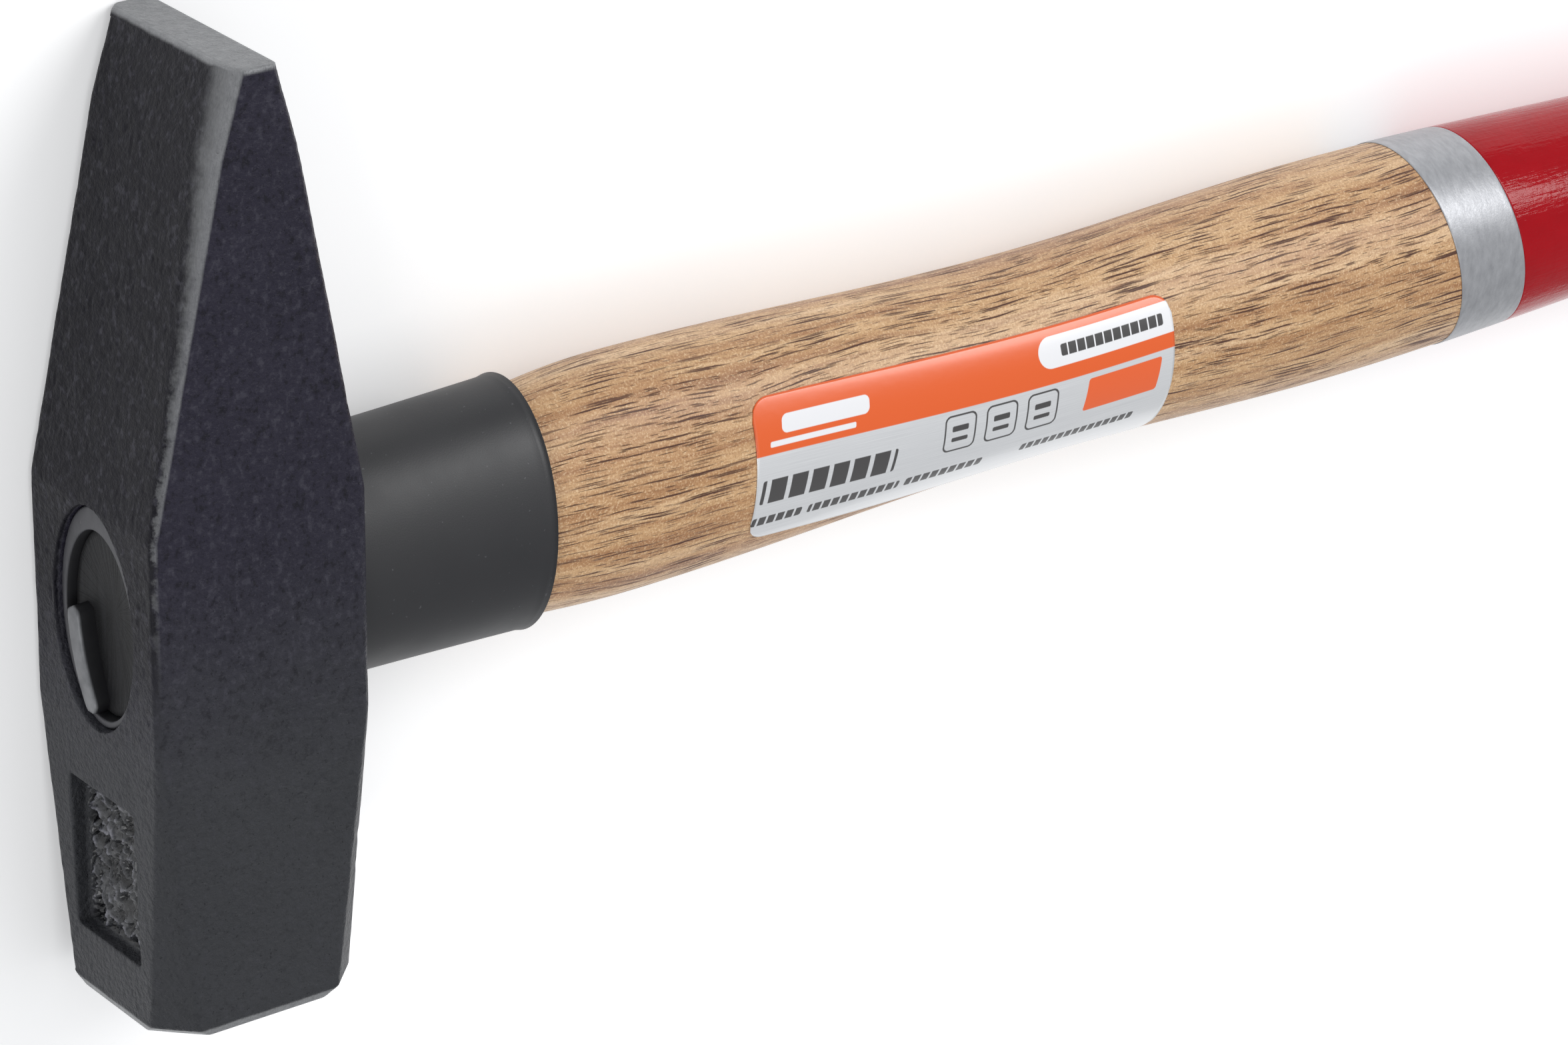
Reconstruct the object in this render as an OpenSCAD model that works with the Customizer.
// Engineer's cross-peen hammer, 500 g pattern, lying on one cheek.
// +X runs along the handle from the head to the grip end, +Y points to the peen and
// -Y to the striking face, +Z is up out of the upper cheek.
// The origin is on the lower cheek, straight under the centre of the eye. Sizes are in mm.

/* [Head] */
// Length of the head, striking face to peen
head_len = 118; // [95:1:145]
// Distance from the eye centre to the striking face
eye_to_face = 50.6; // [42:0.2:60]
// Width of the head between its cheeks
head_w = 27; // [22:0.5:33]
// Depth of the head through the eye, along the handle
head_d = 28.8; // [24:0.2:35]
// Half length of the parallel block around the eye
eye_block = 14; // [11:0.5:17]
// Width of the striking face
face_w = 25.2; // [20:0.2:31]
// Depth of the striking face
face_d = 27.3; // [22:0.2:33]
// Corner cut of the striking face
face_corner = 4.1; // [2:0.1:6]
// Height of the ground bevel round the striking face
bevel_h = 1.6; // [1:0.1:2.5]
// Step in of the ground bevel
bevel_in = 0.9; // [0.4:0.1:2]
// Crown of the striking face in its middle
crown = 0.4; // [0.2:0.1:1.2]
// Extra corner cut of the face inside its bevel
face_round = 1.3; // [0:0.1:2]
// Thickness of the peen at its tip
peen_t = 5.7; // [4:0.1:9]
// Distance of the peen's centre from the eye axis, towards the handle
peen_shift = 0.95; // [0:0.05:3]
// Swell of the peen's two slopes, behind its tip
peen_swell = 0.7; // [0:0.1:1.5]
// Distance of the fullest part of that swell from the tip
peen_swell_back = 10; // [6:0.5:20]
// Edge cut on the outer side of the peen, at the tip
peen_edge = 1.3; // [0.4:0.1:2]
// Width of the strip ground along the peen's upper outer edge, at the tip
peen_strip = 5; // [1:0.1:7]
// Edge cut on the other long edges
edge = 0.8; // [0.3:0.1:1.5]

/* [Eye] */
// Length of the eye, along the head
eye_h = 27.4; // [22:0.2:33]
// Width of the eye, across the head
eye_w = 16.6; // [12:0.2:19]
// Running room between the liner and the eye
eye_gap = 0.05; // [0.02:0.01:0.2]

/* [Pocket] */
// Length of the pocket in the outer face
pocket_len = 19.6; // [12:0.2:24]
// Width of the pocket
pocket_w = 13.7; // [9:0.1:16]
// Depth of the pocket
pocket_d = 2.5; // [1:0.1:4]
// Metal left between the eye and the pocket
pocket_land = 8.4; // [6:0.1:10]

/* [Sleeve] */
// Length of the collar outside the head
collar_len = 27.9; // [20:0.5:36]
// Rubber wall at the collar's open end, top and bottom
collar_wall = 1.7; // [1:0.1:3]
// Rubber wall at the collar's open end, at the sides
collar_side = 1.15; // [0.8:0.05:2]
// Height that the collar stands out beyond the eye
seat_h = 1.4; // [1:0.1:3]
// Width that the collar stands out beyond the eye
seat_w = 2.7; // [1.5:0.1:3]
// Liner wall at the sides and the face end of the eye
liner_wall = 1.0; // [0.8:0.1:1.6]
// Liner wall at the peen end of the eye
liner_top = 3.1; // [1:0.1:4]
// Depth of the liner's end below the outer face
liner_sink = 0.9; // [0.4:0.1:2]

/* [Handle] */
// Length of the hammer along its handle
hammer_len = 320; // [270:1:384]
// Depth of the tenon's end below the outer face
tenon_sink = 2.2; // [1:0.1:4]
// Place of the shoulder behind the sleeve, from the eye
shoulder_at = 57; // [52:0.5:68]
// Height of the shoulder
shoulder_h = 30.5; // [26:0.1:37]
// Width of the shoulder
shoulder_w = 21.6; // [18:0.1:25.8]
// Place of the waist, from the eye
waist_at = 118; // [100:1:130]
// Height of the waist
waist_h = 26.3; // [22:0.1:32]
// Width of the waist
waist_w = 22; // [18:0.1:26]
// Place of the palm swell, from the eye
swell_at = 168; // [150:1:180]
// Height of the palm swell
swell_h = 28.8; // [24:0.1:34]
// Width of the palm swell
swell_w = 24.2; // [20:0.1:26]
// Place of the thin part before the end, from the end
neck_back = 66; // [50:1:75]
// Height of that thin part
neck_h = 24.6; // [20:0.1:30]
// Width of that thin part
neck_w = 22.6; // [18:0.1:26]
// Place of the knob, from the end
knob_back = 15; // [10:0.5:24]
// Height of the knob
knob_h = 29.6; // [24:0.1:35]
// Width of the knob
knob_w = 26; // [21:0.1:26.4]
// Rounding of the handle's end
end_round = 7; // [3:0.5:9]

/* [Wedge] */
// Thickness of the wedge at its head
wedge_t = 2.5; // [1.4:0.1:3]
// Thickness of the wedge at its tip
wedge_tip = 0.7; // [0.4:0.1:1]
// Length of the wedge, driven along the handle
wedge_len = 18; // [12:0.5:22]
// Radius of the wedge's curved middle
wedge_r = 24; // [16:0.5:40]
// Width of the wedge, along its curve
wedge_w = 13; // [8:0.2:13.2]
// Place of the wedge's middle below the eye centre, as a share of the eye's height
wedge_drop = 0.241; // [0.2:0.001:0.25]
// Place of the wedge's middle beside the eye centre, as a share of the eye's width
wedge_side = 0.235; // [0.2:0.001:0.26]
// Turn of the wedge in the eye, in degrees
wedge_turn = 18; // [12:1:30]
// Height of the wedge's head over the tenon, below the outer face
wedge_sink = 0.2; // [0.1:0.1:1.5]
// Room round the wedge in the wood
wedge_gap = 0.04; // [0.02:0.01:0.1]

/* [Coats and label] */
// Place where the silver coat begins on the axis, from the eye
silver_at = 182; // [174:0.5:190]
// Width of the silver band
silver_w = 11; // [6:0.5:16]
// Slant of the coats' edges, in degrees
coat_slant = 12.5; // [0:0.5:15]
// Thickness of the silver and red coats
coat_t = 0.15; // [0.1:0.05:0.3]
// Place where the label begins, from the eye
label_at = 71; // [64:0.5:80]
// Length of the label
label_len = 64; // [40:1:76]
// Height of the label's upper edge above the axis
label_top = 8.9; // [6:0.1:10]
// Depth of the label's lower edge below the axis
label_low = 9.4; // [8:0.1:12.2]
// Depth of the label's lower edge below the axis, at its far end
label_low_far = 12; // [8:0.1:12.6]
// Corner radius of the label
label_corner = 2.6; // [1:0.1:4]
// Thickness of the label
label_t = 0.12; // [0.08:0.02:0.2]

/* [Hidden] */

facets = 40;                            // points in one handle section
ring_step = 7;                          // longest distance between two sections
coat_steps = 3;                         // sections along the silver band
clear = 40;                             // reach of the label's outline past the wood

axis_z = head_w / 2;                    // height of the handle's axis over the bench
back_x = head_d / 2;                    // face of the head that the sleeve sits on
outer_x = -head_d / 2;                  // face of the head that shows the tenon
end_x = hammer_len - head_d / 2;        // end of the handle
collar_x = back_x + collar_len;         // open end of the sleeve
liner_x = outer_x + liner_sink;         // end of the liner in the eye
tenon_x = outer_x + tenon_sink;         // end of the tenon in the eye
face_y = -eye_to_face;                  // rim of the striking face
peen_y = head_len - eye_to_face;        // tip of the peen
silver_end = silver_at + silver_w;

// [place, height, width, centre] of each section that shapes the handle
tenon_h = eye_h - liner_wall - liner_top;
tenon_w = eye_w - 2 * liner_wall;
tenon_y = (liner_wall - liner_top) / 2;
shape = [
    [back_x, tenon_h, tenon_w, tenon_y],
    [shoulder_at, shoulder_h, shoulder_w, 0],
    [waist_at, waist_h, waist_w, 0],
    [swell_at, swell_h, swell_w, 0],
    [end_x - neck_back, neck_h, neck_w, 0],
    [end_x - knob_back, knob_h, knob_w, 0]
];

// sections of the wood, close together where the handle curves
stops = concat([tenon_x, back_x, collar_x], [for (i = [1:len(shape) - 1]) shape[i][0]],
    [end_x - end_round]);
places = concat(
    [for (i = [0:len(stops) - 2]) each
        let (gap = stops[i + 1] - stops[i], count = ceil(gap / ring_step))
        [for (k = [0:count - 1]) stops[i] + gap * k / count]],
    [stops[len(stops) - 1]]);

// Smooth step from 0 to 1
function ease(t) = (1 - cos(180 * max(0, min(1, t)))) / 2;

// Number of the stretch of the shape that holds a place
function stretch(x, i = 0) = i >= len(shape) - 2 || x < shape[i + 1][0] ? i : stretch(x, i + 1);

// Height, width and centre of the handle at a place
function section(x) =
    let (i = stretch(x), a = shape[i], b = shape[i + 1])
    a + (b - a) * ease((x - a[0]) / (b[0] - a[0]));

// An oval across the handle
function oval(x, h, w, y = 0) =
    [for (i = [0:facets - 1]) let (t = 360 * i / facets) [x, y + h / 2 * cos(t), w / 2 * sin(t)]];

// The wood's outline at a place, grown by a coat
function wood(x, grow = 0) =
    let (s = section(x)) oval(x, s[1] + 2 * grow, s[2] + 2 * grow, s[3]);

// The rounded end of the handle, grown by a coat
function wood_end(grow = 0) =
    [for (turn = [15:15:90])
        let (inset = end_round * (1 - cos(turn)), s = section(end_x - end_round))
        oval(end_x - end_round + (end_round + grow) * sin(turn),
            s[1] + 2 * (grow - inset), s[2] + 2 * (grow - inset))];

// The wood's outline along the slanted edge of a coat
function slanted(x, grow = 0) =
    let (lean = tan(coat_slant) * section(x)[1] / 2)
    [for (i = [0:facets - 1])
        let (t = 360 * i / facets, at = x - lean * cos(t), s = section(at))
        [at, (s[1] / 2 + grow) * cos(t), (s[2] / 2 + grow) * sin(t)]];

// Sections of the wood that reach just past a stretch of it
function near(from, to) = [for (x = places) if (x > from - ring_step && x < to + ring_step) x];

function between(a, b, share) = a + (b - a) * share;

function backwards(list) = [for (i = [len(list) - 1:-1:0]) list[i]];

// Joins rings of points into a solid: capped at both ends, or closed round into a tube.
// Each patch is split from its ring nearer the head, so that faces which meet are split alike.
module loft(rings, tube = false) {
    n = len(rings[0]);
    last = len(rings) - 1;
    sides = [for (r = [0:tube ? last : last - 1]) each
        let (next = r == last ? 0 : r + 1, a = r * n, b = next * n)
        [for (i = [0:n - 1]) each
            let (j = (i + 1) % n)
            rings[r][0][0] <= rings[next][0][0]
                ? [[a + i, b + j, a + j], [a + i, b + i, b + j]]
                : [[a + i, b + i, a + j], [a + j, b + i, b + j]]]];
    caps = tube ? [] : [[for (i = [0:n - 1]) i], [for (i = [n - 1:-1:0]) last * n + i]];
    polyhedron(points = [for (r = rings) each r], faces = concat(sides, caps));
}

// A thin skin of the wood over a stretch of it
module skin(from, to, thick) {
    at = near(from, to);
    loft(concat([for (x = at) wood(x, thick)], [for (x = backwards(at)) wood(x)]), tube = true);
}

// A cross-section of the head. The outer cuts are on the side away from the handle, and the
// upper one is eased over a strip of the outer face, which the grinding leaves barely proud.
function slab(y, low_x, high_x, half_w, outer_cut, strip, back_cut) =
    let (eased = 0.97 * outer_cut * outer_cut / (outer_cut + strip))
    [
        [low_x, y, half_w - strip], [low_x + eased, y, half_w - strip / 2],
        [low_x + outer_cut, y, half_w],
        [high_x - back_cut, y, half_w], [high_x, y, half_w - back_cut],
        [high_x, y, back_cut - half_w], [high_x - back_cut, y, -half_w],
        [low_x + outer_cut, y, -half_w], [low_x, y, outer_cut - half_w]
    ];

module eye() {
    translate([outer_x - 1, 0, 0])
        rotate([0, 90, 0])
        scale([eye_w / eye_h, 1, 1])
        cylinder(d = eye_h, h = head_d + 2, $fn = 96);
}

module pocket() {
    far_y = -eye_h / 2 - pocket_land - pocket_len;
    translate([outer_x - 1, far_y, -pocket_w / 2])
        cube([pocket_d + 1, pocket_len, pocket_w]);
}

// Ball that leaves the striking face crowned
module crown_ball() {
    reach = face_d / 2;
    r = (reach * reach + crown * crown) / (2 * crown);
    translate([0, face_y + r, 0])
        sphere(r = r, $fn = 160);
}

// Outside of the head, from the striking face to the peen
module blank() {
    face_half = face_d / 2;
    peen_low = peen_shift - peen_t / 2;
    peen_high = peen_shift + peen_t / 2;
    along = 1 - peen_swell_back / (peen_y - eye_block);
    loft([
        slab(face_y, bevel_in - face_half, face_half - bevel_in, face_w / 2 - bevel_in,
            face_corner + face_round, face_corner + face_round, face_corner + face_round),
        slab(face_y + bevel_h, -face_half, face_half, face_w / 2,
            face_corner, face_corner, face_corner),
        slab(-eye_block, outer_x, back_x, head_w / 2, edge, edge, edge),
        slab(eye_block, outer_x, back_x, head_w / 2, edge, edge, edge),
        slab(peen_y - peen_swell_back, between(outer_x, peen_low, along) - peen_swell,
            between(back_x, peen_high, along) + peen_swell, head_w / 2,
            between(edge, peen_edge, along), between(edge, peen_strip, along), edge),
        slab(peen_y, peen_low, peen_high, head_w / 2, peen_edge, peen_strip, edge)
    ]);
}

// Forged head with its eye, its peen and the pocket in its outer face
module head() {
    color("#24252b")
    translate([0, 0, axis_z])
    difference() {
        intersection() {
            blank();
            crown_ball();
        }
        eye();
        pocket();
    }
}

// Rubber sleeve: a liner through the eye and a collar over the root of the handle
module sleeve() {
    liner_h = eye_h - 2 * eye_gap;
    liner_w = eye_w - 2 * eye_gap;
    root_h = eye_h + 2 * seat_h;
    root_w = eye_w + 2 * seat_w;
    inside = [for (x = places) if (x > tenon_x && x <= collar_x) x];
    tip = section(collar_x);
    color("#2b2c2f")
    translate([0, 0, axis_z])
    difference() {
        loft(concat(
            [oval(liner_x, liner_h, liner_w), oval(back_x, liner_h, liner_w),
                oval(back_x, root_h, root_w),
                oval(collar_x, tip[1] + 2 * collar_wall, tip[2] + 2 * collar_side)],
            [for (x = backwards(inside)) wood(x)],
            [wood(liner_x)]), tube = true);
        wedge_plate(wedge_gap);
    }
}

// Curved plate, thinner towards its tip
module wedge_plate(grow = 0) {
    spread = wedge_w / wedge_r * 90 / PI;
    outer_r = wedge_r + wedge_t / 2 + grow;
    length = wedge_len + grow;
    translate([outer_x + wedge_sink, -wedge_drop * eye_h, -wedge_side * eye_w])
        rotate([-wedge_turn, 0, 0])
        translate([0, 0, wedge_r])
        rotate([0, 90, 0])
        intersection() {
            difference() {
                cylinder(r = outer_r, h = length, $fn = 120);
                cylinder(r1 = outer_r - wedge_t - 2 * grow, r2 = outer_r - wedge_tip - 2 * grow,
                    h = length, $fn = 120);
            }
            rotate([0, 0, -spread])
                linear_extrude(height = length)
                polygon([[0, 0], [clear, 0], [clear * cos(2 * spread), clear * sin(2 * spread)]]);
        }
}

module wedge() {
    color("#55565a")
    translate([0, 0, axis_z])
        wedge_plate();
}

// Turned wooden handle with the tenon that fills the sleeve's liner
module handle() {
    color("#c79a66")
    translate([0, 0, axis_z])
    difference() {
        loft(concat([for (x = places) wood(x)], wood_end()));
        wedge_plate(wedge_gap);
    }
}

module label() {
    color("#e0622d")
    translate([0, 0, axis_z])
    intersection() {
        skin(label_at, label_at + label_len, label_t);
        translate([label_at, 0, 0])
            linear_extrude(height = clear)
            offset(r = label_corner, $fn = 32)
            polygon([[label_corner, label_corner - label_low],
                [label_len - label_corner, label_corner - label_low_far],
                [label_len - label_corner, label_top - label_corner],
                [label_corner, label_top - label_corner]]);
    }
}

module silver_band() {
    cuts = [for (k = [0:coat_steps]) silver_at + silver_w * k / coat_steps];
    color("#b9bcc0")
    translate([0, 0, axis_z])
        loft(concat([for (x = cuts) slanted(x, coat_t)],
            [for (x = backwards(cuts)) slanted(x)]), tube = true);
}

// Red lacquer over the grip and its rounded end
module grip_coat() {
    reach = tan(coat_slant) * section(silver_end)[1] / 2;
    at = [for (x = places) if (x > silver_end + reach + coat_t) x];
    inner = concat([slanted(silver_end)], [for (x = at) wood(x)], wood_end());
    outer = concat([slanted(silver_end, coat_t)], [for (x = at) wood(x, coat_t)],
        wood_end(coat_t));
    color("#a01424")
    translate([0, 0, axis_z])
        loft(concat(backwards(inner), outer));
}

head();
wedge();
sleeve();
handle();
label();
silver_band();
grip_coat();
